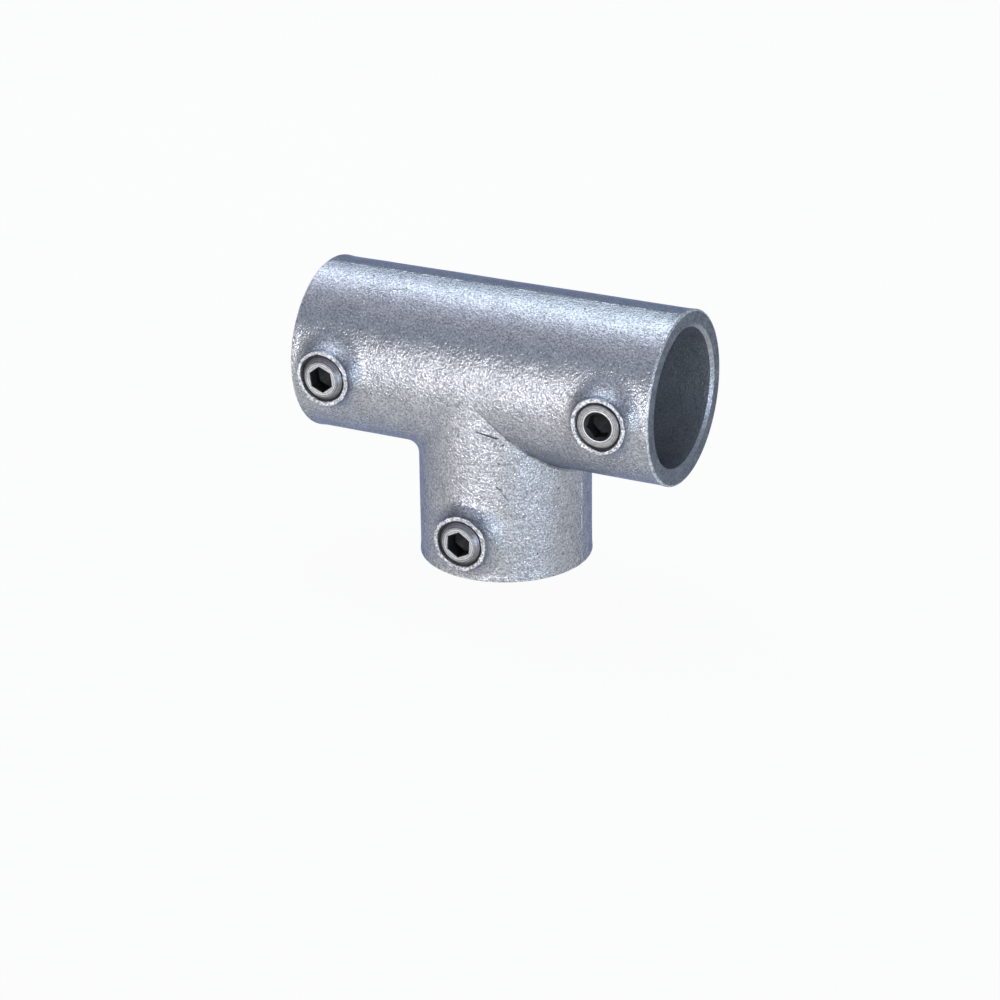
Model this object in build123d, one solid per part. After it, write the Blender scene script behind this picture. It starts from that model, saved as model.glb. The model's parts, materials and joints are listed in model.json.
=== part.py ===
from build123d import *
import math
import os

# Tube clamp tee: one casting that takes three tubes, and the set screw that grips each of them.
# Millimetres. The origin is the centre of the upright socket's mouth, +Z runs up the socket,
# X lies along the run sleeve, and all three screws face -Y.

# The tube that the fitting is made for, and the casting round it
tube_diameter = 48.3        # 1 1/2 inch nominal bore pipe, and scaffold tube
tube_play = 0.7             # radial room between the tube and its bore
wall = 6.3                  # thickness of the run sleeve
socket_step = 0.2           # how much slimmer the upright socket is than the sleeve, at the radius
run_arm = 69.3              # from the crossing of the two axes to either mouth of the sleeve
upright_arm = 69.3          # from the crossing of the two axes to the socket's mouth
mouth_round = 1.3           # rounding of a mouth's outer edge
mouth_lead = 1.15           # chamfer that leads a tube into a mouth
junction_round = 4.0        # fillet in the corner between the sleeve and the socket
core_relief = 0.6           # how much wider the hollow is where the bores meet, at the radius
core_reach = 2.0            # how far that wider hollow runs past the edge of a crossing bore

# The boss that carries each set screw
boss_height = 5.6           # from the outside of the sleeve to the boss's face
boss_ring = 1.8             # width of the flat ring round the tapped hole
boss_draft = 5.0            # degrees that the boss's flank leans out towards its root
boss_root_round = 4.2       # fillet between the boss and the arm
boss_edge_round = 0.35      # rounding of the boss's outer edge
boss_land = 0.23            # plain strip between that fillet and the rounding of the mouth

# The set screw, whose 3/8 inch pipe thread is left plain
thread_diameter = 16.66     # over the crests of the thread
thread_play = 0.05          # radial room between the screw and its hole
screw_recess = 0.35         # from the boss's face down to the face of a screw that is all the way in
tip_setback = 0.05          # from the bore's wall back to that screw's tip
turned_out = {"left": 1.15, "right": 0.0, "upright": 1.15}   # how far each screw is turned back out
face_chamfer = 1.6
tip_chamfer = 1.8
cup_diameter = 10.4         # the hollow that bites into the tube
cup_depth = 1.6
hex_across_flats = 8.0
hex_depth = 5.6
drill_point_angle = 118.0   # degrees, of the hole that ends under the hexagon
hex_turn = {"left": 37.5, "right": 12.0, "upright": 26.5}   # degrees from +X to a corner
hex_lead = {"left": 0.0, "right": 0.6, "upright": 0.0}      # countersink beyond the corners

bore_radius = tube_diameter / 2 + tube_play
sleeve_radius = bore_radius + wall
socket_radius = sleeve_radius - socket_step
core_half = bore_radius + core_reach
face_distance = sleeve_radius + boss_height
hole_radius = thread_diameter / 2
boss_radius = hole_radius + boss_ring
screw_radius = hole_radius - thread_play
screw_length = wall + boss_height - screw_recess - tip_setback

# The boss stands as near to the mouth as its fillet lets it
lean = math.radians(boss_draft)
boss_foot = boss_radius + boss_height * math.tan(lean)
root_reach = boss_root_round * math.tan((math.pi / 2 - lean) / 2)
screw_inset = mouth_round + boss_land + root_reach + boss_foot

crossing = Vector(0, 0, upright_arm)
outside = {"left": sleeve_radius, "right": sleeve_radius, "upright": socket_radius}
mouths = {
    "left": Plane(origin=crossing - Vector(run_arm, 0, 0), z_dir=(-1, 0, 0)),
    "right": Plane(origin=crossing + Vector(run_arm, 0, 0), z_dir=(1, 0, 0)),
    "upright": Plane(origin=(0, 0, 0), z_dir=(0, 0, -1)),
}


def screw_plane(arm):
    """The plane on an arm's axis, square to its screw, with the normal out of the boss."""
    mouth = mouths[arm]
    station = mouth.origin - mouth.z_dir * screw_inset
    return Plane(origin=station, x_dir=(1, 0, 0), z_dir=(0, -1, 0))


def run_bar(radius):
    """A round bar from mouth to mouth of the run sleeve."""
    return extrude(mouths["right"] * Circle(radius), amount=-2 * run_arm)


def upright_bar(radius):
    """A round bar from the upright socket's mouth to the crossing of the axes."""
    return extrude(mouths["upright"] * Circle(radius), amount=-upright_arm)


def core_bar(arm, length):
    """The wider hollow about the crossing, which starts in one arm and runs back along its axis."""
    outward = mouths[arm].z_dir
    start = Plane(origin=crossing + outward * core_half, z_dir=outward)
    return extrude(start * Circle(bore_radius + core_relief), amount=-length)


def circles_at(shape, centre, radius):
    """The circular edges of one radius about one centre."""
    return shape.edges().filter_by(GeomType.CIRCLE).filter_by(
        lambda edge: (edge.arc_center - centre).length < 0.01 and abs(edge.radius - radius) < 0.01
    )


def blend(shape, addition, radius):
    """Two solids joined, with a fillet along the line where they meet."""
    joined = shape + addition
    return fillet(new_edges(shape, addition, combined=joined), radius)


def boss(arm):
    """A drafted boss, from the arm's axis out to the boss's face."""
    axis_radius = boss_radius + face_distance * math.tan(lean)
    flank = Cone(axis_radius, boss_radius, face_distance, align=(Align.CENTER, Align.CENTER, Align.MIN))
    return screw_plane(arm) * flank


def screw_hole(arm):
    """The hole for a set screw, from the arm's axis out past the boss's face."""
    return extrude(screw_plane(arm) * Circle(hole_radius), amount=face_distance + boss_height)


def tee_casting():
    """The sleeve and the socket with their bosses, bored for the tubes and the screws."""
    body = blend(run_bar(sleeve_radius), upright_bar(socket_radius), junction_round)
    for arm in mouths:
        body = blend(body, boss(arm), boss_root_round)
    body -= run_bar(bore_radius)
    body -= upright_bar(bore_radius)
    body -= core_bar("right", 2 * core_half)
    body -= core_bar("upright", core_half)
    for arm, mouth in mouths.items():
        body = fillet(circles_at(body, mouth.origin, outside[arm]), mouth_round)
        body = chamfer(circles_at(body, mouth.origin, bore_radius), mouth_lead)
        body -= screw_hole(arm)
        face = screw_plane(arm)
        rim = circles_at(body, face.origin + face.z_dir * face_distance, boss_radius)
        body = fillet(rim, boss_edge_round)
    return body


def set_screw(arm):
    """A set screw with a hexagon socket in its face and a cup in its tip."""
    face = face_distance - screw_recess + turned_out[arm]
    tip = face - screw_length
    outline = Polyline(
        (0, tip + cup_depth),
        (cup_diameter / 2, tip),
        (screw_radius - tip_chamfer, tip),
        (screw_radius, tip + tip_chamfer),
        (screw_radius, face - face_chamfer),
        (screw_radius - face_chamfer, face),
        (0, face),
        close=True,
    )
    body = revolve(Plane.XZ * make_face(outline), Axis.Z)
    hexagon = RegularPolygon(hex_across_flats / 2, 6, major_radius=False, rotation=hex_turn[arm])
    floor = face - hex_depth
    body -= extrude(Pos(0, 0, floor) * hexagon, amount=hex_depth)
    point = hex_across_flats / 2 / math.tan(math.radians(drill_point_angle / 2))
    body -= Pos(0, 0, floor) * Cone(0, hex_across_flats / 2, point, align=(Align.CENTER, Align.CENTER, Align.MAX))
    if hex_lead[arm] > 0:
        corner = hex_across_flats / 2 / math.cos(math.radians(30))
        lead = corner + hex_lead[arm]
        body -= Pos(0, 0, face) * Cone(0, lead, lead, align=(Align.CENTER, Align.CENTER, Align.MAX))
    return screw_plane(arm) * body


nodes = {"tee_casting": tee_casting()}
for arm in mouths:
    nodes["set_screw_" + arm] = set_screw(arm)

os.makedirs("parts", exist_ok=True)
for name, solid in nodes.items():
    export_step(solid, "parts/" + name + ".step")
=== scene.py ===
import json
import math

import bmesh
import bpy
import numpy as np
from mathutils import Matrix, Vector


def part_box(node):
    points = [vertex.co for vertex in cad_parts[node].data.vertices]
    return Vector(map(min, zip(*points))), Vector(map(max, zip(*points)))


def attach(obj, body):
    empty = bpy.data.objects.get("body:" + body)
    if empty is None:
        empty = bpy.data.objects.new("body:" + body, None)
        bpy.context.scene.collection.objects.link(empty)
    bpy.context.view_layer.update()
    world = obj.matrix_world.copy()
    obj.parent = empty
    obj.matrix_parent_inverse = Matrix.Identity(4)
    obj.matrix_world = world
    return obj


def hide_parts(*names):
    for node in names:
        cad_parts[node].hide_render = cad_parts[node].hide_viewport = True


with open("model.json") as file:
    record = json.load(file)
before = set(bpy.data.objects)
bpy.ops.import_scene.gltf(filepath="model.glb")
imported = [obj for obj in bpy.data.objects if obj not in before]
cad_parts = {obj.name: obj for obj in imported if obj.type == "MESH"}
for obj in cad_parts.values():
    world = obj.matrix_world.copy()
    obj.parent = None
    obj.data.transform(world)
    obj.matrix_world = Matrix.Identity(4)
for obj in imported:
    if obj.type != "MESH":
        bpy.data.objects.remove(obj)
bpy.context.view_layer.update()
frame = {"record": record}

METRE = 0.001               # the shapes' lengths are in millimetres, and the materials' in metres

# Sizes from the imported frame
CORE_REACH = 2.0            # how far the wider core runs past the edge of a crossing bore
CORE_RELIEF = 0.6           # how much wider it is, at the radius
SKIN_ROOM = 0.05            # kept inside the casting's box for the swells of the cast skin
RIM_ROOM = 0.04             # and for the lumps on a boss's rim
mounts = {m["name"]: m for m in frame["record"]["mounts"]}
casting_low, casting_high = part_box("tee_casting")
ARM = casting_high.x / METRE                                    # crossing of the axes to a mouth
AXIS_HEIGHT = mounts["run_right"]["pos_m"][2] / METRE           # sleeve's axis above the socket's mouth
BORE = mounts["run_right"]["dims"]["r_mm"]
BORE_END = ARM - BORE - CORE_REACH                              # where the bore opens into the wider core
CORE = BORE + CORE_RELIEF
SKIN = casting_high.y / METRE - SKIN_ROOM                       # outer radius of an arm
BOSS_FACE = -casting_low.y / METRE - RIM_ROOM                   # axis of an arm to the boss's face

# The casting's mouths, corners and bosses
MOUTH_ROUND = 0.7           # worn bright by handling, and painted brighter still as a highlight
MOUTH_LEAD = 1.15           # chamfer that leads into the bore
CAST_START = (1.0, 3.0)     # between these distances from a mouth the cast unevenness sets in
# fillets under the arms: radius at the front, what it gains to the back, and the power of that gain
CORNER_ROUNDS = {"left": (5.0, -1.0, 1), "right": (1.1, 2.9, 2)}
SHUT = 1e-6                 # radians of opening below which such a corner counts as closed
PATCH_END = 31.3            # distance from the mouth where the plain skin of an arm begins
PATCH_HALF = 13.6           # half length of the square that is cut out round a boss
BOSS_RADIUS = 10.15         # of the rim's outer edge
BOSS_EDGE = 0.4             # height of the lip that the rim makes between its two edges
LIP_POWER = 6               # how flat that lip is on top
FLARE_ROUND = 5.6           # concave fillet round a boss
FLARE_REACH = 15.75         # distance from the boss's axis where that fillet ends
FLARE_TOP = math.radians(85.0)      # how far that fillet turns up
RIM_ROUGH = {"left": 0.07, "right": 0.06, "upright": 0.13}  # height of the waves along that edge
RIM_SEED = {"left": 31, "right": 32, "upright": 33}
HOLE_SEED, LUMP_SEED = 10, 20   # added to a boss's seed for its other two random waves
FINEST_WAVE = 26            # the waves round a boss's edge have fewer turns than this
RAGGED_FALL = 0.4           # power by which finer waves are lower
HOLE_EDGE = 8.55            # where the rim ends and the countersink of the tapped hole begins
HOLE_ROUGH = 0.07           # height of the waves along that edge
RIM_LUMPS = 0.05            # and of those on the top of the rim
# where the hole is broken out wider: the angle from +X, the half width in degrees and the extra radius
HOLE_GAPS = {
    "left": ((140, 100, 0.4),),
    "right": ((-75, 32, 0.45), (45, 70, 0.25)),
    "upright": ((185, 80, 0.35), (-60, 50, 0.2)),
}

# The cast skin: each pattern's seed, its longest and shortest wave, and how many waves it has
SWELL, SWELL_HEIGHT = (11, 46.0, 14.0, 14), 0.055
DENT, DENT_HEIGHT = (12, 11.0, 4.0, 26), 0.022
DRIFT, PARTING_WANDER = (13, 70.0, 16.0, 8), 0.9
SKIN_LIMITS = (-0.2, 0.075)
SKIN_SINK = 0.03            # how far the whole skin lies below its plain radius
WAVE_FALL = 0.8             # power by which shorter waves are lower
PARTING_PLACE = -1.5        # of the ridge where the two halves of the mould met, a little before the axes
PARTING_HEIGHT = 0.16
PARTING_REACH = 2.8         # how far that ridge slopes off to either side

# The thread and the set screws
PITCH = 25.4 / 19           # of the thread
THREAD_MEAN = 7.85          # male thread, half way up its flank
THREAD_HALF_DEPTH = 0.43    # crest to the middle of the flank, at the radius
THREAD_GAP = 0.14           # female thread, further out by this
CREST = THREAD_MEAN + THREAD_HALF_DEPTH
FACE_RING = {"left": 9.0, "right": 6.4, "upright": 9.0}     # radius at which the face turns duller
FACE_CHAMFER = {"left": 2.0, "right": 0.7, "upright": 2.0}
BEVEL_END = 7.7             # radius at which the bevel of the face turns into the thread, painted dark as shade
TIP_CHAMFER = 1.8
CUP_RADIUS = 5.2
CUP_DEPTH = 1.6
HEX_FLAT = 4.0              # centre of the hexagon to a flat
HEX_DEPTH = 5.6             # from the face to the floor of the hexagon
DRILL_POINT = 59.0          # degrees from the axis to the side of the drill's point below the hexagon
HEX_TURN = {"left": 37.5, "right": 12.0, "upright": 26.5}   # degrees from +X to a corner
HEX_LEAD = {"left": 0.28, "right": 0.0, "upright": 0.3}     # chamfer along the hexagon's edge
ROUND_LEAD = {"left": 0.0, "right": 5.22, "upright": 0.0}   # radius of a round chamfer instead

# The fineness of the surfaces
AROUND = 192                # columns round an arm
PATCH_COLUMNS = 14          # columns from a boss's middle to the side of its square
PATCH_ROWS = 27
FADE_ROWS = 8               # rows up a boss's flank over which the unevenness of the cast skin dies out
SCREW_COLUMNS = 96
ROWS = {
    "skin": 25, "flare": 17, "flank": 4, "rim": 15, "hole": 61, "bore_patch": 6, "corner": 11,
    "mouth_round": 8, "mouth_face": 5, "mouth_lead": 3, "bore_start": 3, "bore_end": 8, "core": 9,
    "drill_point": 7, "hexagon": 6, "face": 6, "dull_face": 5, "bevel": 9, "thread": 85, "tip": 3, "cup": 7,
}
TRIALS = 4                  # rounds that find where a thread meets the bore
MERGE_DISTANCE = 2e-6       # metres within which the points of two borders are one
CASTING_SHARP, SCREW_SHARP = 33.0, 28.0     # degrees between faces from which an edge shows

# The photograph's camera: its place in metres, the way it looks in degrees, and its lens
CAMERA_PLACE = np.array([0.47203, -0.93061, 0.46781])
CAMERA_AZIMUTH, CAMERA_ELEVATION, CAMERA_ROLL = (math.radians(v) for v in (27.017, 23.293, -0.734))
LENS, SENSOR = 113.71, 36.0
CLIP_NEAR, CLIP_FAR = 0.05, 20.0
PICTURE = 1000              # pixels across the photograph

X, Y, Z = np.eye(3)
BOSS_SIDE = -Y
CROSSING = AXIS_HEIGHT * Z
BACKWARD = (math.sin(CAMERA_AZIMUTH) * X - math.cos(CAMERA_AZIMUTH) * Y) * math.cos(CAMERA_ELEVATION)
BACKWARD = BACKWARD + math.sin(CAMERA_ELEVATION) * Z
LEVEL = np.cross(-BACKWARD, Z) / np.linalg.norm(np.cross(-BACKWARD, Z))
RIGHTWARD = LEVEL * math.cos(CAMERA_ROLL) + np.cross(BACKWARD, LEVEL) * math.sin(CAMERA_ROLL)
UPWARD = np.cross(BACKWARD, RIGHTWARD)

# Zinc: each noise has its lumps to the metre, its detail and its roughness; heights are in metres
MOTTLE = 160.0, 4.0, 0.6
SAND = 1320.0, 2.0, 0.6     # a little under a millimetre from grain to grain
COARSE = 412.5, 2.0, 0.5    # a little over three grains to a lump
SAND_HEIGHT = 0.00042       # bump distances
COARSE_HEIGHT = 0.0006
COARSE_SHARE = 0.5          # strength of the coarse layer, as a share of the grain's
SMOOTHER = (0.080, 0.095)   # heights between which the grain grows lower
TOP_GRAIN = 0.4             # share of the grain's height that is left above them
MOTTLE_STOPS = (0.32, 0.68)     # values of the noise at which the dark and the light colour are reached
HOLLOW_STOPS = (0.36, 0.6)
GLOSS_STOPS = (0.35, 0.65)
LIMB = (0.12, 0.20, 0.50)   # how zinc reflects along its outline, where it turns out of sight
MOUTH_LIMB = (0.13, 0.18, 0.30)
CREASE_SHADE_FADE = (-0.022, 0.002)     # from front to back, between these places the painted shade in the crease fades out

# Flaws of the casting, by their pixels in the photograph and the axis of the arm that carries them:
# pits and cuts, and a run of zinc in two stretches, whose bright colour is a painted highlight
FLAWS = (
    ((471.0, 369.0), (471.6, 370.0), X),
    ((500.0, 384.0), (500.6, 384.6), X),
    ((476.5, 432.5), (498.5, 439.5), Z),
    ((495.0, 447.0), (503.5, 445.5), Z),
    ((496.5, 488.0), (502.0, 492.0), Z),
    ((502.0, 494.0), (509.5, 503.0), Z),
)
RUNS = (
    ((361.0, 287.0), (380.5, 291.0), X),
    ((380.5, 291.0), (406.5, 289.0), X),
)
FLAW_WIDTH = 0.0004
FLAW_DEPTH = 0.0003
FLAW_STOPS, FLAW_SHADE = (0.2, 0.9), 0.25
RUN_WIDTH = 0.0005
RUN_HEIGHT = 0.0005
LINE_WIDTH = 0.0005         # of the bright line along the mould's ridge, partly rubbed flash and partly a painted highlight
LINE_BREAKS = 130.0, 2.0, 0.5   # the noise that breaks it into stretches
LINE_STOPS, LINE_SHINE = (0.47, 0.56), 0.8
# colour of the painted highlight on the zinc run and along the mould's ridge
HIGHLIGHT_ZINC = (0.78, 0.78, 0.8)
WANDER, WANDER_LUMPS = 0.0007, 600.0    # how far a mark strays from its line, and its bends to the metre
PIT_CELLS = 150.0           # cells to the metre that may each hold a pit
PIT_FLOOR, PIT_RADIUS = 0.021, 0.07     # of a cell

# Turned steel
RING_SCALE = 1.4            # turned rings to the millimetre
RING_STOPS, RING_DEPTH, RING_STRENGTH = (0.36, 0.62), 0.00012, 0.8
CLOUD = 900.0, 3.0, 0.6
CLOUD_DEPTH, CLOUD_STRENGTH = 0.0002, 0.5
CLOUD_STOPS, CLOUD_SHADE = (0.35, 0.6), 0.7
CLOUD_GLOSS, DULLER, GLOSSIER = (0.3, 0.7), 0.1, 0.06

# Floor, backdrop and lamps
FLOOR_HALF = 3
FLOOR_SINK = 0.0002         # how far the floor lies below the socket's mouth
FLOOR_WHITE, FLOOR_ROUGH = (0.86, 0.86, 0.86), 0.9
FLOOR_GLOW = 0.95           # how much of the floor's look is plain white; the rest is its own shade
AMBIENT = 0.06              # strength of the backdrop as a light
# the backdrop's colours by the sine of the angle above the horizon: white, grey, blue and pale violet
SKY = (
    (0.15, (0.955, 0.955, 0.955)),
    (0.33, (0.11, 0.12, 0.15)),
    (0.55, (0.16, 0.27, 0.38)),
    (0.8, (0.64, 0.62, 0.78)),
)
LAMP_DISTANCE = 1.1
AIM_HEIGHT = 0.055          # of the point that the lamps face
# each lamp's azimuth and elevation in degrees, width, height, power and colour
LAMPS = {
    "front": (-6, 4, 0.5, 0.24, 7.6, (0.98, 0.97, 1.0)),
    "right": (60, 4, 0.24, 0.24, 5.3, (0.62, 0.77, 1.0)),
    "back": (200, 62, 0.8, 0.8, 6.0, (0.80, 0.94, 1.0)),
    "left_back": (-120, 38, 0.42, 0.42, 2.0, (0.88, 0.87, 1.0)),
}

# Numbers of the finishes on the casting and on a screw
SKIN_FINISH, RIM_FINISH, BORE_FINISH, MOUTH_FINISH, TAPPED_FINISH, CREASE_SHADE_FINISH = 0, 1, 2, 3, 4, 5
FACE_FINISH, SOCKET_FINISH, THREAD_FINISH, BEVEL_FINISH = 0, 1, 2, 3


class Arm:
    """One of the three arms: its mouth, the way out of it, the way across, and its boss."""

    def __init__(self, name, mouth, out, screw):
        low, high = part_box(screw)
        self.name = name
        self.mouth = mouth
        self.out = out
        self.across = np.cross(out, BOSS_SIDE)
        self.station = np.array([low.x + high.x, 0.0, low.z + high.z]) / 2 / METRE
        self.inset = float(np.linalg.norm(self.station - mouth))
        self.screw = screw
        self.face = -low.y / METRE
        self.tip = -high.y / METRE

    def place(self, inward, across, height):
        """Points at a distance in from the mouth, a distance across and a height towards the boss."""
        spread = np.broadcast_arrays(inward, across, height)
        inward, across, height = (np.asarray(s, float)[..., None] for s in spread)
        return self.mouth - self.out * inward + self.across * across + BOSS_SIDE * height


arms = {
    "left": Arm("left", CROSSING - ARM * X, -X, "set_screw_left"),
    "right": Arm("right", CROSSING + ARM * X, X, "set_screw_right"),
    "upright": Arm("upright", 0.0 * X, -Z, "set_screw_upright"),
}


class Shell:
    """Grids of points gathered into one closed mesh. Grids that share a border share its points."""

    def __init__(self, weight):
        self.weight = weight
        self.points, self.faces, self.finish, self.values = [], [], [], []
        self.count = 0

    def add(self, grid, finish, value=0.0, keep=None):
        """A grid of rows and columns becomes quads between neighbours, less those not kept."""
        rows, columns = grid.shape[:2]
        number = self.count + np.arange(rows * columns).reshape(rows, columns)
        quads = np.stack([number[:-1, :-1], number[:-1, 1:], number[1:, 1:], number[1:, :-1]], axis=-1)
        quads = quads.reshape(-1, 4) if keep is None else quads[keep]
        self.points.append(grid.reshape(-1, 3))
        self.faces.append(quads)
        self.finish.append(np.full(len(quads), finish))
        self.values.append(np.broadcast_to(value, (rows, columns)).reshape(-1))
        self.count += rows * columns

    def build(self, name, materials, sharp, uneven=None):
        """The mesh object: borders merged, faces turned outwards, cast skin moved along its normals."""
        mesh = bpy.data.meshes.new(name)
        mesh.from_pydata(np.concatenate(self.points) * METRE, [], np.concatenate(self.faces).tolist())
        for material in materials:
            mesh.materials.append(material)
        mesh.polygons.foreach_set("material_index", np.concatenate(self.finish).astype(np.int32))
        weight = mesh.attributes.new(self.weight, "FLOAT", "POINT")
        weight.data.foreach_set("value", np.concatenate(self.values).astype(np.float32))
        work = bmesh.new()
        work.from_mesh(mesh)
        bmesh.ops.remove_doubles(work, verts=work.verts, dist=MERGE_DISTANCE)
        bmesh.ops.delete(work, geom=[v for v in work.verts if not v.link_faces], context="VERTS")
        bmesh.ops.recalc_face_normals(work, faces=work.faces)
        work.to_mesh(mesh)
        work.free()
        if uneven is not None:
            total = len(mesh.vertices)
            place, normal, amount = np.empty(total * 3), np.empty(total * 3), np.empty(total, np.float32)
            mesh.vertices.foreach_get("co", place)
            mesh.vertex_normals.foreach_get("vector", normal)
            mesh.attributes[self.weight].data.foreach_get("value", amount)
            place, normal = place.reshape(-1, 3), normal.reshape(-1, 3)
            place += normal * (uneven(place / METRE) * amount)[:, None] * METRE
            mesh.vertices.foreach_set("co", place.reshape(-1))
        mesh.shade_smooth()
        mesh.set_sharp_from_angle(angle=math.radians(sharp))
        mesh.update()
        piece = bpy.data.objects.new(name, mesh)
        bpy.context.scene.collection.objects.link(piece)
        return piece


def waves(points, seed, longest, shortest, count):
    """A sum of sine waves of many lengths and directions, shorter ones lower, within about -1 to 1."""
    dice = np.random.default_rng(seed)
    way = dice.normal(size=(count, 3))
    way /= np.linalg.norm(way, axis=1, keepdims=True)
    length = longest * (shortest / longest) ** np.linspace(0, 1, count)
    height = (length / longest) ** WAVE_FALL
    turn = points @ (way / length[:, None]).T * 2 * math.pi + dice.uniform(0, 2 * math.pi, count)
    return (np.sin(turn) * height).sum(axis=1) / np.sqrt((height**2).sum()) / 2


def cast_skin(points):
    """Slow swells and shallow dents of a sand casting, never further out than the sizes allow.

    The ridge between the mould's halves is a tent whose height falls evenly with the distance
    from a plane across the axes, which wanders a little.
    """
    swell, dent = waves(points, *SWELL), waves(points, *DENT)
    away = points[:, 1] - PARTING_PLACE - PARTING_WANDER * waves(points * (X + Z), *DRIFT)
    ridge = PARTING_HEIGHT * np.clip(1 - np.abs(away) / PARTING_REACH, 0, 1)
    rough = np.clip(SWELL_HEIGHT * swell + DENT_HEIGHT * dent, *SKIN_LIMITS)
    return rough - SKIN_SINK + ridge - PARTING_HEIGHT


def flare(distance):
    """Height of the concave fillet at a distance from the boss's axis: a quarter circle, then nothing."""
    reach = np.clip(FLARE_REACH - distance, 0, FLARE_ROUND * math.sin(FLARE_TOP))
    return FLARE_ROUND - np.sqrt(FLARE_ROUND**2 - reach**2)


def skin(arm, inward, angle):
    """The arm's outside: a cylinder, raised towards the boss by the boss's fillet."""
    across = SKIN * np.sin(angle)
    rise = flare(np.hypot(inward - arm.inset, across)) * (np.cos(angle) > 0)
    return arm.place(inward, across, SKIN * np.cos(angle) + rise)


def corner_round(side, turn):
    """Radius of the fillet between the sleeve and the socket, at an angle round from the front.

    It starts from its value at the front and gains by a power of the way round to the back.
    """
    front, gain, power = CORNER_ROUNDS[side]
    back = (1 - np.cos(turn)) / 2
    return front + gain * back**power


def reach_of(arm, angle, radius, fillets):
    """Distance from the crossing at which the arm's wall of a radius meets the other arms' walls.

    Two equal cylinders cross where that distance is the radius times the sine of the angle, and a
    fillet, where it counts, adds its own radius to the cylinder's.
    """
    side = np.sin(angle)
    if arm.name == "upright":
        turn = np.abs(angle)
        rounds = np.where(side < 0, corner_round("right", turn), corner_round("left", turn))
        share = np.abs(side)
    else:
        rounds = corner_round(arm.name, np.abs(angle))
        share = np.maximum(0, side if arm.name == "right" else -side)
    return (radius + rounds * fillets) * share


def square_loop(first_row, last_row, first_column, last_column):
    """Row and column numbers of the grid points round a square, in order and closed."""
    rows = np.arange(first_row, last_row)
    columns = np.arange(first_column, last_column)
    start_row, end_row = np.full(len(columns), first_row), np.full(len(columns), last_row)
    start_column, end_column = np.full(len(rows), first_column), np.full(len(rows), last_column)
    row = np.concatenate([start_row, rows, end_row, rows[::-1] + 1])
    column = np.concatenate([columns, end_column, columns[::-1] + 1, start_column])
    return np.append(row, row[0]), np.append(column, column[0])


def female_thread(angle, height, edge):
    """Radius of the tapped hole: a cosine wave along a right-handed helix, with a countersink on top."""
    phase = height / PITCH - angle / (2 * math.pi)
    cut = THREAD_MEAN + THREAD_GAP + THREAD_HALF_DEPTH * np.cos(2 * math.pi * phase)
    return np.maximum(cut, edge - (BOSS_FACE - BOSS_EDGE - height))


def ragged(turn, seed, height):
    """A rough edge round a boss: sine waves of 2 turns and more, whose root mean square is the height."""
    dice = np.random.default_rng(seed)
    count = np.arange(2, FINEST_WAVE)
    strength = dice.normal(size=len(count)) / count**RAGGED_FALL
    wave = np.sin(turn[:, None] * count + dice.uniform(0, 2 * math.pi, len(count)))
    return height * (wave * strength).sum(axis=1) / np.sqrt((strength**2).sum() / 2)


def hump(turn, middle, half):
    """A smooth hump of height one about an angle in degrees, down to nought at a half width away."""
    away = (turn - math.radians(middle) + math.pi) % (2 * math.pi) - math.pi
    return np.cos(np.clip(away / math.radians(half), -1, 1) * math.pi / 2) ** 2


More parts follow.
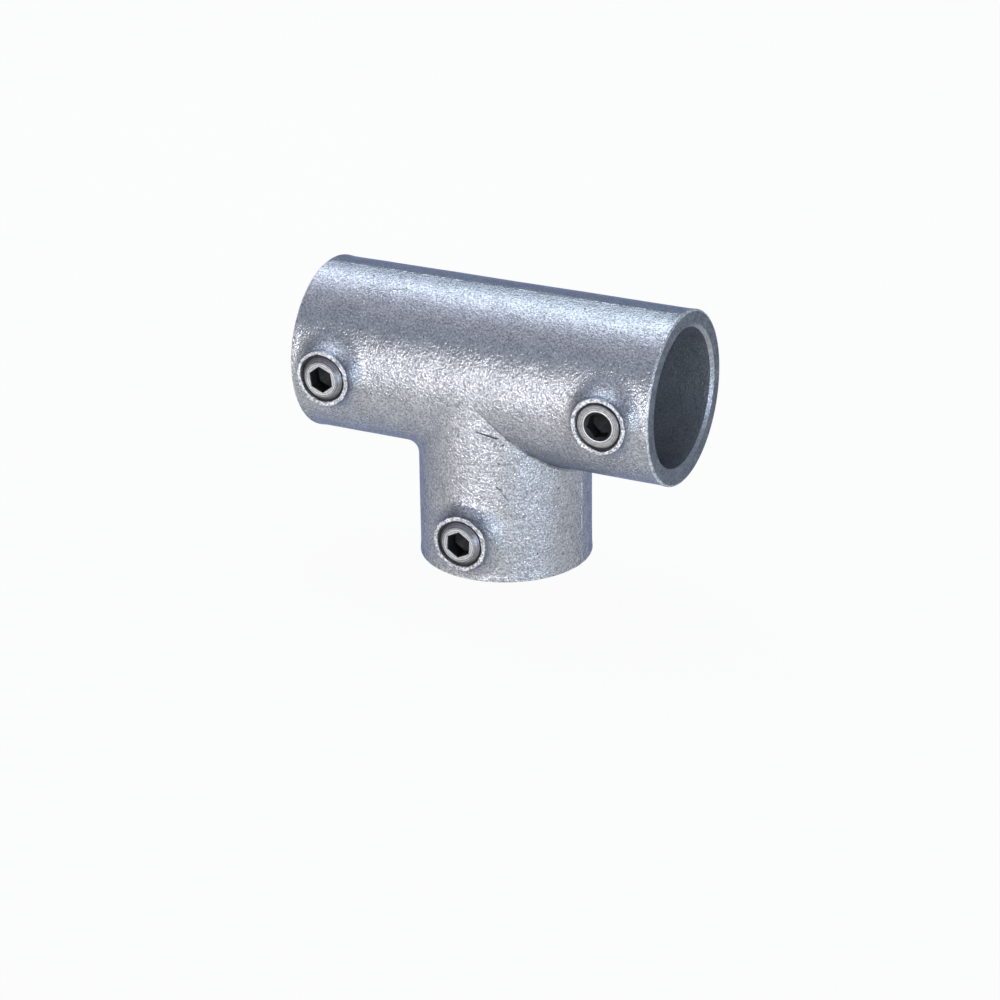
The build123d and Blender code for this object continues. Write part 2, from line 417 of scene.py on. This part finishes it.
def add_boss(shell, arm, outer, bore_inward, bore_across):
    """From the square in the skin up the boss, down its tapped hole and out to the square in the bore.

    Each ray keeps one direction round the boss's axis; the rows are profiles laid along it.
    """
    inward, across = outer
    far = np.hypot(inward - arm.inset, across)
    ray_in, ray_across = (inward - arm.inset) / far, across / far
    world = -np.outer(ray_in, arm.out) + np.outer(ray_across, arm.across)
    turn = np.arctan2(world[:, 2], world[:, 0])

    def along(radius, height):
        return arm.place(arm.inset + radius * ray_in, radius * ray_across, height)

    def base(radius):
        return np.sqrt(SKIN**2 - (radius * ray_across) ** 2)

    # the fillet turns with an even angle, and runs straight on where the square lies beyond it
    start = np.where(
        far > FLARE_REACH,
        (FLARE_REACH - far) / FLARE_ROUND,
        np.arcsin(np.clip((FLARE_REACH - far) / FLARE_ROUND, 0, 1)),
    )
    rows = []
    for step in np.linspace(0, 1, ROWS["flare"]):
        bend = start + (FLARE_TOP - start) * step
        radius = FLARE_REACH - FLARE_ROUND * np.where(bend < 0, bend, np.sin(bend))
        rows.append(along(radius, base(radius) + flare(radius)))

    # the flank: a straight line from the fillet's top to the ragged outer edge of the rim
    foot_radius = FLARE_REACH - FLARE_ROUND * math.sin(FLARE_TOP)
    foot_height = base(foot_radius) + flare(foot_radius)
    seed = RIM_SEED[arm.name]
    rim = BOSS_RADIUS + ragged(turn, seed, RIM_ROUGH[arm.name])
    edge_height = BOSS_FACE - BOSS_EDGE
    for step in np.linspace(0, 1, ROWS["flank"] + 1)[1:]:
        height = foot_height + (edge_height - foot_height) * step
        rows.append(along(foot_radius + (rim - foot_radius) * step, height))
    cast = np.concatenate([np.ones(len(rows) - FADE_ROWS), np.linspace(1, 0, FADE_ROWS)])[:, None]
    shell.add(np.array(rows), SKIN_FINISH, cast)

    # the rim: a lip whose height is a flattened half ellipse from its outer edge to its inner one
    edge = HOLE_EDGE + ragged(turn, seed + HOLE_SEED, HOLE_ROUGH)
    for middle, half, extra in HOLE_GAPS[arm.name]:
        edge = edge + extra * hump(turn, middle, half)
    edge = np.maximum(edge, THREAD_MEAN + THREAD_GAP + THREAD_HALF_DEPTH)
    lumps = ragged(turn, seed + LUMP_SEED, RIM_LUMPS)
    rows = []
    for step in (1 - np.cos(np.linspace(0, math.pi, ROWS["rim"]))) / 2:
        lip = math.sqrt(1 - abs(2 * step - 1) ** LIP_POWER)
        rows.append(along(rim + (edge - rim) * step, edge_height + (BOSS_EDGE + lumps) * lip))
    # the rim's bright colour is partly wear and partly a painted highlight
    shell.add(np.array(rows), RIM_FINISH)

    # the hole: its thread, down to where it meets the bore, which a few rounds of trial find
    floor_radius = np.full(len(turn), THREAD_MEAN)
    for _ in range(TRIALS):
        floor = np.sqrt(BORE**2 - (floor_radius * ray_across) ** 2)
        floor_radius = female_thread(turn, floor, edge)
    floor = np.sqrt(BORE**2 - (floor_radius * ray_across) ** 2)
    rows = []
    for step in np.linspace(0, 1, ROWS["hole"]):
        height = edge_height + (floor - edge_height) * step
        rows.append(along(floor_radius if step == 1 else female_thread(turn, height, edge), height))
    # the tapped thread is painted dark as the shade down the hole
    shell.add(np.array(rows), TAPPED_FINISH)

    # the bore's wall, from the hole out to the square, along straight lines on the cylinder
    rows = []
    for step in np.linspace(0, 1, ROWS["bore_patch"]):
        at_in = (arm.inset + floor_radius * ray_in) * (1 - step) + bore_inward * step
        at_across = floor_radius * ray_across * (1 - step) + bore_across * step
        rows.append(arm.place(at_in, at_across, np.sqrt(BORE**2 - at_across**2)))
    shell.add(np.array(rows), BORE_FINISH)


def add_arm(shell, arm):
    """One arm: skin, mouth and bore, as rows of distance from the mouth and columns of angle."""
    angle = np.linspace(-math.pi, math.pi, AROUND + 1)
    sine, cosine = np.sin(angle), np.cos(angle)
    first, last = AROUND // 2 - PATCH_COLUMNS, AROUND // 2 + PATCH_COLUMNS

    # outside, from the mouth's rounding to the end of the boss's patch
    square = np.linspace(arm.inset - PATCH_HALF, arm.inset + PATCH_HALF, PATCH_ROWS + 1)
    before = [MOUTH_ROUND, (MOUTH_ROUND + square[0]) / 2]
    inward = np.concatenate([before, square, [PATCH_END]])
    top = len(before)
    grid = skin(arm, inward[:, None], angle[None, :])
    keep = np.ones((len(inward) - 1, AROUND), bool)
    keep[top:top + PATCH_ROWS, first:last] = False
    calm, rough = CAST_START
    shell.add(grid, SKIN_FINISH, np.clip((inward - calm) / (rough - calm), 0, 1)[:, None], keep)
    loop_row, loop_column = square_loop(top, top + PATCH_ROWS, first, last)
    outer = inward[loop_row], SKIN * sine[loop_column]

    # outside, on to the crossing or the fillet
    end = ARM - reach_of(arm, angle, SKIN, 1)
    share = np.linspace(0, 1, ROWS["skin"])[:, None]
    shell.add(skin(arm, PATCH_END + (end - PATCH_END) * share, angle[None, :]), SKIN_FINISH, 1.0)

    # mouth: rounding, flat ring and chamfer
    brim = skin(arm, np.full_like(angle, MOUTH_ROUND), angle)
    spoke = arm.across * sine[:, None] + BOSS_SIDE * cosine[:, None]
    rows = []
    for step in np.linspace(0, math.pi / 2, ROWS["mouth_round"]):
        outward = arm.out * MOUTH_ROUND * math.sin(step)
        rows.append(brim + outward - spoke * MOUTH_ROUND * (1 - math.cos(step)))
    # the rounding takes the rim's colour: wear and a painted highlight
    shell.add(np.array(rows), RIM_FINISH)
    ring = rows[-1]
    lip = arm.place(0.0, (BORE + MOUTH_LEAD) * sine, (BORE + MOUTH_LEAD) * cosine)
    face = np.array([ring + (lip - ring) * step for step in np.linspace(0, 1, ROWS["mouth_face"])])
    # the flat ring is painted dark blue-grey as shade
    shell.add(face, MOUTH_FINISH)
    throat = arm.place(MOUTH_LEAD, BORE * sine, BORE * cosine)
    lead = np.array([lip + (throat - lip) * step for step in np.linspace(0, 1, ROWS["mouth_lead"])])
    shell.add(lead, BORE_FINISH)

    # bore, with its own square round the tapped hole
    half = BORE * math.sin(angle[last])
    square = np.linspace(arm.inset - half, arm.inset + half, PATCH_ROWS + 1)
    before = np.linspace(MOUTH_LEAD, square[0], ROWS["bore_start"] + 1)[:-1]
    after = np.linspace(square[-1], BORE_END, ROWS["bore_end"] + 1)[1:]
    inward = np.concatenate([before, square, after])
    top = len(before)
    grid = arm.place(inward[:, None], BORE * sine[None, :], BORE * cosine[None, :])
    keep = np.ones((len(inward) - 1, AROUND), bool)
    keep[top:top + PATCH_ROWS, first:last] = False
    shell.add(grid, BORE_FINISH, keep=keep)
    loop_row, loop_column = square_loop(top, top + PATCH_ROWS, first, last)
    add_boss(shell, arm, outer, inward[loop_row], BORE * sine[loop_column])

    # the step to the wider core, and the core on to where it meets the other arms
    radius = np.array([[BORE], [CORE]])
    shell.add(arm.place(BORE_END, radius * sine, radius * cosine), BORE_FINISH)
    end = ARM - reach_of(arm, angle, CORE, 0)
    inward = BORE_END + (end - BORE_END) * np.linspace(0, 1, ROWS["core"])[:, None]
    shell.add(arm.place(inward, CORE * sine[None, :], CORE * cosine[None, :]), BORE_FINISH)


def add_corner(shell, side):
    """The fillet under one arm: a ball rolled along the corner, touching sleeve and socket.

    Its centre keeps one distance from both axes, and each row of the strip turns from the
    sleeve's normal to the socket's by an even angle. Where the two are one, the row is straight.
    """
    turn = np.linspace(0, math.pi, AROUND // 2 + 1)
    sign = 1.0 if side == "right" else -1.0
    ball = corner_round(side, turn)[:, None]
    sine, cosine = np.sin(turn)[:, None], np.cos(turn)[:, None]
    centre = CROSSING + (SKIN + ball) * (sign * sine * X - cosine * Y - sine * Z)
    on_sleeve = -cosine * Y - sine * Z
    on_socket = sign * sine * X - cosine * Y
    opening = np.arccos(np.clip((on_sleeve * on_socket).sum(axis=1), -1, 1))[:, None]
    closed = opening < SHUT
    safe = np.where(closed, 1.0, np.sin(opening))
    rows = []
    for step in np.linspace(0, 1, ROWS["corner"]):
        sleeve_share = np.where(closed, 1 - step, np.sin((1 - step) * opening) / safe)
        socket_share = np.where(closed, step, np.sin(step * opening) / safe)
        rows.append(centre - ball * (sleeve_share * on_sleeve + socket_share * on_socket))
    # the right fillet carries painted shade, darkest at the front
    shell.add(np.array(rows), CREASE_SHADE_FINISH if side == "right" else SKIN_FINISH, 1.0)


def male_thread(angle, height, face, tip, chamfer):
    """Radius of a screw: a cosine wave along a right-handed helix, cut by a chamfer at each end."""
    phase = height / PITCH - angle / (2 * math.pi)
    cut = THREAD_MEAN + THREAD_HALF_DEPTH * np.cos(2 * math.pi * phase)
    return np.minimum(np.minimum(cut, CREST - chamfer + face - height), CREST - TIP_CHAMFER + height - tip)


def set_screw(arm, materials):
    """A screw as rings round its axis: socket, face, thread, tip and cup, each a radius and a height.

    Heights are from the arm's axis, as they are in the hole, so that the two threads are in step.
    """
    angle = math.radians(HEX_TURN[arm.name]) + np.linspace(0, 2 * math.pi, SCREW_COLUMNS + 1)
    from_flat = (angle - math.radians(HEX_TURN[arm.name])) % (math.pi / 3) - math.pi / 6
    hexagon = HEX_FLAT / np.cos(from_flat)
    full = np.ones_like(angle)
    face, tip = arm.face, arm.tip
    shell = Shell("turning")

    def add(rows, finish):
        grid = np.array(rows)
        away = grid - arm.station
        shell.add(grid, finish, np.hypot(away[..., 0], away[..., 2]))

    def ring(radius, height):
        radius, height = radius * full, height * full
        spokes = np.cos(angle)[:, None] * X + np.sin(angle)[:, None] * Z
        return arm.station + spokes * radius[:, None] + BOSS_SIDE * height[:, None]

    def between(surface):
        return np.linspace(0, 1, ROWS[surface])

    # socket: the drill's point, the floor, the hexagon's walls and the lead into it, painted near black as
    # shade
    floor = face - HEX_DEPTH
    point = HEX_FLAT / math.tan(math.radians(DRILL_POINT))
    rows = [ring(HEX_FLAT * s, floor - point * (1 - s)) for s in between("drill_point")]
    rows += [ring(HEX_FLAT + (hexagon - HEX_FLAT) * s, floor) for s in (0.5, 1.0)]
    lead, mouth = HEX_LEAD[arm.name], ROUND_LEAD[arm.name]
    wall_top = face - lead if mouth == 0 else face - (mouth - hexagon)
    steps = np.linspace(0, 1, ROWS["hexagon"] + 1)[1:]
    rows += [ring(hexagon, floor + (wall_top - floor) * s) for s in steps]
    add(rows, SOCKET_FINISH)
    rim = hexagon + lead if mouth == 0 else mouth * full
    rows = [ring(hexagon + (rim - hexagon) * s, wall_top + (face - wall_top) * s) for s in (0.0, 0.5, 1.0)]
    add(rows, SOCKET_FINISH)

    # face, with a duller ring on the screw whose bevel is narrow, and bevel
    chamfer = FACE_CHAMFER[arm.name]
    edge = male_thread(angle, face, face, tip, chamfer)
    step = np.minimum(edge, FACE_RING[arm.name])
    add([ring(rim + (step - rim) * s, face) for s in between("face")], FACE_FINISH)
    if FACE_RING[arm.name] < edge.min():
        add([ring(step + (edge - step) * s, face) for s in between("dull_face")], BEVEL_FINISH)
    bevel = face - (BEVEL_END - CREST + chamfer)
    heights = np.linspace(face, bevel, ROWS["bevel"])
    add([ring(male_thread(angle, h, face, tip, chamfer), h) for h in heights], BEVEL_FINISH)

    # thread, tip and cup, painted dark as shade
    heights = bevel + (tip - bevel) * between("thread")
    add([ring(male_thread(angle, h, face, tip, chamfer), h) for h in heights], THREAD_FINISH)
    end = male_thread(angle, tip, face, tip, chamfer)
    rows = [ring(end + (CUP_RADIUS - end) * s, tip) for s in between("tip")]
    steps = np.linspace(0, 1, ROWS["cup"] + 1)[1:]
    rows += [ring(CUP_RADIUS * (1 - s), tip + CUP_DEPTH * s) for s in steps]
    add(rows, THREAD_FINISH)
    return shell.build(arm.screw + "_turned", materials, SCREW_SHARP)


def finish_of(name, colour, metallic, roughness):
    """A new material with its shader's plain values, and a place for its nodes."""
    material = bpy.data.materials.new(name)
    material.use_nodes = True
    shader = material.node_tree.nodes["Principled BSDF"]
    shader.inputs["Base Color"].default_value = (*colour, 1)
    shader.inputs["Metallic"].default_value = metallic
    shader.inputs["Roughness"].default_value = roughness
    return material, material.node_tree, shader


def add_node(tree, kind, **values):
    """A node with its properties and its unlinked inputs set by name."""
    node = tree.nodes.new(kind)
    for key, value in values.items():
        if key in node.inputs:
            node.inputs[key].default_value = value
        else:
            setattr(node, key, value)
    return node


def feed(tree, sockets, values):
    """Each socket is linked to its value where that is another node's, and set to it otherwise."""
    for socket, value in zip(sockets, values):
        if isinstance(value, bpy.types.NodeSocket):
            tree.links.new(value, socket)
        else:
            socket.default_value = value


def maths(tree, operation, *values):
    """Values, linked or plain, put through one operation."""
    node = add_node(tree, "ShaderNodeMath", operation=operation)
    feed(tree, node.inputs, values)
    return node.outputs[0]


def vector_maths(tree, operation, *values):
    """A node that puts linked or plain vectors through one operation."""
    node = add_node(tree, "ShaderNodeVectorMath", operation=operation)
    feed(tree, node.inputs, values)
    return node


def mixed(tree, share, first, second):
    """A colour that goes from a first one to a second one by a share; either is linked or plain."""
    node = add_node(tree, "ShaderNodeMix", data_type="RGBA")
    tree.links.new(share, node.inputs["Factor"])
    feed(tree, (node.inputs[6], node.inputs[7]), (first, second))
    return node.outputs[2]


def coordinate(tree, place, way):
    """One of a place's three coordinates."""
    ways = tree.nodes.new("ShaderNodeSeparateXYZ")
    tree.links.new(place, ways.inputs[0])
    return ways.outputs[way]


def noise(tree, place, scale, detail, rough):
    """A noise pattern on a place, with its lumps 1/scale metres apart."""
    node = add_node(tree, "ShaderNodeTexNoise", Scale=scale, Detail=detail, Roughness=rough)
    tree.links.new(place, node.inputs["Vector"])
    return node.outputs["Fac"]


def ramp(tree, value, low, high, dark, light):
    """A value mapped from one range onto another and clamped to it."""
    node = tree.nodes.new("ShaderNodeMapRange")
    node.inputs["From Min"].default_value = low
    node.inputs["From Max"].default_value = high
    node.inputs["To Min"].default_value = dark
    node.inputs["To Max"].default_value = light
    tree.links.new(value, node.inputs["Value"])
    return node.outputs["Result"]


def colours(tree, value, *stops):
    """A value turned into a colour along stops of (place, colour)."""
    node = tree.nodes.new("ShaderNodeValToRGB")
    points = node.color_ramp.elements
    while len(points) < len(stops):
        points.new(0.5)
    for point, (place, colour) in zip(points, stops):
        point.position = place
        point.color = (*colour, 1)
    tree.links.new(value, node.inputs["Fac"])
    return node.outputs["Color"]


def shaded(tree, colour, value, stops, deepest):
    """A colour made darker where a value is low, down to a share of itself."""
    node = add_node(tree, "ShaderNodeMix", data_type="RGBA", blend_type="MULTIPLY")
    node.inputs["Factor"].default_value = 1.0
    tree.links.new(colour, node.inputs[6])
    grey = colours(tree, value, (stops[0], (deepest,) * 3), (stops[1], (1, 1, 1)))
    tree.links.new(grey, node.inputs[7])
    return node.outputs[2]


def bumps(tree, *layers):
    """Bump layers of (height, distance in metres, strength), each on top of the last."""
    normal = None
    for height, distance, strength in layers:
        node = add_node(tree, "ShaderNodeBump", Distance=distance, Strength=strength)
        tree.links.new(height, node.inputs["Height"])
        if normal is not None:
            tree.links.new(normal, node.inputs["Normal"])
        normal = node.outputs["Normal"]
    return normal


def on_skin(pixel, axis):
    """The point, in metres, where the ray through a pixel first meets the skin round an axis.

    The ray and the axis are seen end on, which leaves a quadratic equation for the distance.
    """
    across, down = pixel
    aside = (RIGHTWARD * (across - PICTURE / 2) + UPWARD * (PICTURE / 2 - down)) * SENSOR / PICTURE / LENS
    ray = aside - BACKWARD
    flat = 1 - axis
    ray_flat, start = ray * flat, (CAMERA_PLACE / METRE - CROSSING) * flat
    a, b, c = ray_flat @ ray_flat, ray_flat @ start, start @ start - SKIN**2
    return CAMERA_PLACE + ray * METRE * (-b - math.sqrt(b * b - a * c)) / a


def mark(tree, place, start, end, width):
    """One on the line between two points, falling evenly to nought at a width from it."""
    along = end - start
    offset = vector_maths(tree, "SUBTRACT", place, start).outputs["Vector"]
    share = vector_maths(tree, "DOT_PRODUCT", offset, along / (along @ along)).outputs["Value"]
    foot = vector_maths(tree, "SCALE", along)
    tree.links.new(ramp(tree, share, 0.0, 1.0, 0.0, 1.0), foot.inputs["Scale"])
    gap = vector_maths(tree, "DISTANCE", offset, foot.outputs["Vector"]).outputs["Value"]
    return ramp(tree, gap, 0.0, width, 1.0, 0.0)


def marks(tree, place, lines, width):
    """The strongest of several marks, each given by its pixels in the photograph and its arm's axis."""
    total = None
    for first, last, axis in lines:
        here = mark(tree, place, on_skin(first, axis), on_skin(last, axis), width)
        total = here if total is None else maths(tree, "MAXIMUM", total, here)
    return total


def parting_line(tree, place):
    """One along the ridge between the mould's halves, in broken stretches, partly rubbed bright and partly
    a painted highlight.
    """
    away = maths(tree, "SUBTRACT", coordinate(tree, place, "Y"), PARTING_PLACE * METRE)
    line = ramp(tree, maths(tree, "ABSOLUTE", away), 0.0, LINE_WIDTH, 1.0, 0.0)
    stretches = ramp(tree, noise(tree, place, *LINE_BREAKS), *LINE_STOPS, 0.0, LINE_SHINE)
    return maths(tree, "MULTIPLY", line, stretches)


def zinc_colours(tree, mottle, pair):
    """A dark and a light zinc in patches."""
    return colours(tree, mottle, *zip(MOTTLE_STOPS, pair))


def galvanised(name, pair, metallic, gloss, grain, shade, flawed=False, behind=None, limb=LIMB):
    """Hot-dip galvanised iron: mottled zinc over a sand-cast grain, with painted shade in its hollows.

    The pair is its dark and its light colour, gloss its lowest and highest roughness, grain the
    strength of that grain, and shade the share of the colour that the painted shade leaves in its hollows.
    """
    material, tree, shader = finish_of(name, pair[1], metallic, gloss[1])
    place = tree.nodes.new("ShaderNodeTexCoord").outputs["Object"]
    mottle = noise(tree, place, *MOTTLE)
    sand = noise(tree, place, *SAND)
    coarse = noise(tree, place, *COARSE)
    colour = zinc_colours(tree, mottle, pair)
    if behind:
        # the painted shade in the crease fades out towards the back
        back = ramp(tree, coordinate(tree, place, "Y"), *CREASE_SHADE_FADE, 0.0, 1.0)
        colour = mixed(tree, back, colour, zinc_colours(tree, mottle, behind))
    # painted shade in the grain's hollows
    colour = shaded(tree, colour, sand, HOLLOW_STOPS, shade)
    tree.links.new(ramp(tree, sand, *GLOSS_STOPS, gloss[1], gloss[0]), shader.inputs["Roughness"])
    rise = ramp(tree, coordinate(tree, place, "Z"), *SMOOTHER, 1.0, TOP_GRAIN)
    coarse, sand = maths(tree, "MULTIPLY", coarse, rise), maths(tree, "MULTIPLY", sand, rise)
    layers = [(coarse, COARSE_HEIGHT, COARSE_SHARE * grain), (sand, SAND_HEIGHT, grain)]
    shader.inputs["Specular Tint"].default_value = (*limb, 1)
    if flawed:
        # the marks wander a little, and the pits lie where a cell's point comes near the skin
        wander = add_node(tree, "ShaderNodeTexNoise", Scale=WANDER_LUMPS)
        tree.links.new(place, wander.inputs["Vector"])
        spread, middle = (WANDER,) * 3, (-WANDER / 2,) * 3
        shift = vector_maths(tree, "MULTIPLY_ADD", wander.outputs["Color"], spread, middle)
        moved = vector_maths(tree, "ADD", place, shift.outputs["Vector"]).outputs["Vector"]
        cells = add_node(tree, "ShaderNodeTexVoronoi", Scale=PIT_CELLS)
        tree.links.new(moved, cells.inputs["Vector"])
        pits = ramp(tree, cells.outputs["Distance"], PIT_FLOOR, PIT_RADIUS, 1.0, 0.0)
        hollow = maths(tree, "MAXIMUM", marks(tree, moved, FLAWS, FLAW_WIDTH), pits)
        ground = maths(tree, "SUBTRACT", 1.0, hollow)
        # the zinc run and the mould's ridge are raised and painted bright: a painted highlight, with rubbed
        # flash on the ridge
        runs_and_highlight = maths(tree, "MAXIMUM", marks(tree, moved, RUNS, RUN_WIDTH), parting_line(tree, moved))
        colour = mixed(tree, runs_and_highlight, shaded(tree, colour, ground, FLAW_STOPS, FLAW_SHADE), (*HIGHLIGHT_ZINC, 1))
        layers += [(ground, FLAW_DEPTH, 1.0), (runs_and_highlight, RUN_HEIGHT, 1.0)]
    tree.links.new(colour, shader.inputs["Base Color"])
    tree.links.new(bumps(tree, *layers), shader.inputs["Normal"])
    return material


def turned_steel(name, dark, light, metallic, rough):
    """Zinc-plated steel with the rings that turning leaves, at uneven distances from the axis."""
    material, tree, shader = finish_of(name, light, metallic, rough)
    place = tree.nodes.new("ShaderNodeTexCoord").outputs["Object"]
    turning = add_node(tree, "ShaderNodeAttribute", attribute_name="turning").outputs["Fac"]
    rings = add_node(tree, "ShaderNodeTexNoise", noise_dimensions="1D", Scale=RING_SCALE)
    tree.links.new(turning, rings.inputs["W"])
    cloud = noise(tree, place, *CLOUD)
    colour = colours(tree, rings.outputs["Fac"], *zip(RING_STOPS, (dark, light)))
    tree.links.new(shaded(tree, colour, cloud, CLOUD_STOPS, CLOUD_SHADE), shader.inputs["Base Color"])
    gloss = ramp(tree, cloud, *CLOUD_GLOSS, rough + DULLER, rough - GLOSSIER)
    tree.links.new(gloss, shader.inputs["Roughness"])
    layers = (rings.outputs["Fac"], RING_DEPTH, RING_STRENGTH), (cloud, CLOUD_DEPTH, CLOUD_STRENGTH)
    tree.links.new(bumps(tree, *layers), shader.inputs["Normal"])
    return material


def seen(tree):
    """One for rays from the camera, from gloss and through glass, and nought for the others."""
    path = tree.nodes.new("ShaderNodeLightPath").outputs
    shown = maths(tree, "MAXIMUM", path["Is Camera Ray"], path["Is Glossy Ray"])
    return maths(tree, "MAXIMUM", shown, path["Is Transmission Ray"])


def soft_light(name, azimuth, elevation, width, height, power, colour):
    """A soft rectangular lamp aimed at the fitting, from an azimuth and an elevation in degrees."""
    lamp = bpy.data.lights.new(name, "AREA")
    lamp.shape = "RECTANGLE"
    lamp.size, lamp.size_y = width, height
    lamp.energy = power
    lamp.color = colour
    holder = bpy.data.objects.new(name, lamp)
    around, up = math.radians(azimuth), math.radians(elevation)
    back = Vector((math.sin(around) * math.cos(up), -math.cos(around) * math.cos(up), math.sin(up)))
    holder.location = Vector((0, 0, AIM_HEIGHT)) + back * LAMP_DISTANCE
    holder.rotation_euler = back.to_track_quat("Z", "Y").to_euler()
    bpy.context.scene.collection.objects.link(holder)


# The casting's finishes, in the order of their numbers
skin_colours = (0.43, 0.44, 0.46), (0.53, 0.54, 0.56)
# painted shade in the crease under the right arm, fading to the skin's colours at the back
crease_shade_colours = (0.18, 0.18, 0.19), (0.38, 0.39, 0.41)
# wear, and a painted highlight, on the bosses' rims and the mouths' roundings
rim_wear_and_highlight_colours = (0.58, 0.58, 0.59), (0.86, 0.86, 0.86)
bore_colours = (0.36, 0.37, 0.39), (0.46, 0.47, 0.49)
# painted shade: the mouth's flat ring, dark blue-grey
mouth_shade_colours = (0.18, 0.20, 0.23), (0.28, 0.30, 0.33)
# painted shade down the tapped holes
tapped_shade_colours = (0.07, 0.07, 0.07), (0.13, 0.13, 0.125)
cast_look = {"metallic": 0.76, "gloss": (0.26, 0.39), "grain": 0.85, "shade": 0.5}
casting_finishes = [
    galvanised("galvanised_skin", skin_colours, **cast_look, flawed=True),
    galvanised("ground_rim_and_painted_highlight", rim_wear_and_highlight_colours, metallic=0.5, gloss=(0.36, 0.55), grain=1.0, shade=0.35),
    galvanised("galvanised_bore", bore_colours, metallic=0.7, gloss=(0.38, 0.52), grain=0.5, shade=0.7),
    galvanised("faced_mouth_painted_shade", mouth_shade_colours, metallic=0.6, gloss=(0.4, 0.52), grain=0.8, shade=0.6,
               limb=MOUTH_LIMB),
    galvanised("tapped_thread_painted_shade", tapped_shade_colours, metallic=0.5, gloss=(0.4, 0.6), grain=0.4, shade=0.5),
    galvanised("painted_shade_in_the_crease", crease_shade_colours, **cast_look, behind=skin_colours),
]

# A screw's finishes, in the order of their numbers
screw_finishes = [
    turned_steel("screw_face", (0.17, 0.17, 0.18), (0.58, 0.58, 0.6), metallic=0.8, rough=0.38),
    # painted shade: the socket near black and the thread dark
    turned_steel("screw_socket_painted_shade", (0.010, 0.011, 0.012), (0.018, 0.019, 0.021), metallic=0.3, rough=0.6),
    turned_steel("screw_thread_painted_shade", (0.06, 0.06, 0.06), (0.12, 0.12, 0.115), metallic=0.6, rough=0.5),
    turned_steel("screw_bevel", (0.14, 0.14, 0.14), (0.32, 0.32, 0.33), metallic=0.75, rough=0.42),
]

# The casting
shell = Shell("cast")
for arm in arms.values():
    add_arm(shell, arm)
for side in ("left", "right"):
    add_corner(shell, side)
casting = shell.build("tee_casting_skin", casting_finishes, CASTING_SHARP, cast_skin)
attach(casting, "casting")
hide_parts("tee_casting")

# The set screws
for arm in arms.values():
    screw = set_screw(arm, screw_finishes)
    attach(screw, arm.name + "_screw")
    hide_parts(arm.screw)

# The floor shows nearly white, and keeps some of its own shade
floor_corners = [(x * FLOOR_HALF, y * FLOOR_HALF, 0) for x, y in ((-1, -1), (1, -1), (1, 1), (-1, 1))]
floor_mesh = bpy.data.meshes.new("floor")
floor_mesh.from_pydata(floor_corners, [], [(0, 1, 2, 3)])
floor = bpy.data.objects.new("floor", floor_mesh)
bpy.context.scene.collection.objects.link(floor)
floor.location.z = -FLOOR_SINK
floor_finish, tree, shader = finish_of("pale_floor", FLOOR_WHITE, 0.0, FLOOR_ROUGH)
floor_mesh.materials.append(floor_finish)
glow = add_node(tree, "ShaderNodeEmission", Strength=1.0)
mix = tree.nodes.new("ShaderNodeMixShader")
tree.links.new(maths(tree, "MULTIPLY", seen(tree), FLOOR_GLOW), mix.inputs["Fac"])
tree.links.new(shader.outputs[0], mix.inputs[1])
tree.links.new(glow.outputs[0], mix.inputs[2])
tree.links.new(mix.outputs[0], tree.nodes["Material Output"].inputs["Surface"])

# The backdrop has its full strength where it is seen or mirrored, and gives matt surfaces little light
world = bpy.data.worlds.new("studio")
bpy.context.scene.world = world
world.use_nodes = True
tree = world.node_tree
backdrop = tree.nodes["Background"]
direction = tree.nodes.new("ShaderNodeTexCoord").outputs["Generated"]
tree.links.new(colours(tree, coordinate(tree, direction, "Z"), *SKY), backdrop.inputs["Color"])
strength = maths(tree, "MULTIPLY", seen(tree), 1 - AMBIENT)
tree.links.new(maths(tree, "ADD", strength, AMBIENT), backdrop.inputs["Strength"])

for name, lamp in LAMPS.items():
    soft_light(name, *lamp)

camera_data = bpy.data.cameras.new("camera")
camera = bpy.data.objects.new("camera", camera_data)
bpy.context.scene.collection.objects.link(camera)
bpy.context.scene.camera = camera
camera_data.lens = LENS
camera_data.sensor_width = SENSOR
camera_data.clip_start = CLIP_NEAR
camera_data.clip_end = CLIP_FAR
camera.matrix_world = Matrix(np.column_stack([RIGHTWARD, UPWARD, BACKWARD, CAMERA_PLACE])).to_4x4()

bpy.context.scene.view_settings.view_transform = "Standard"
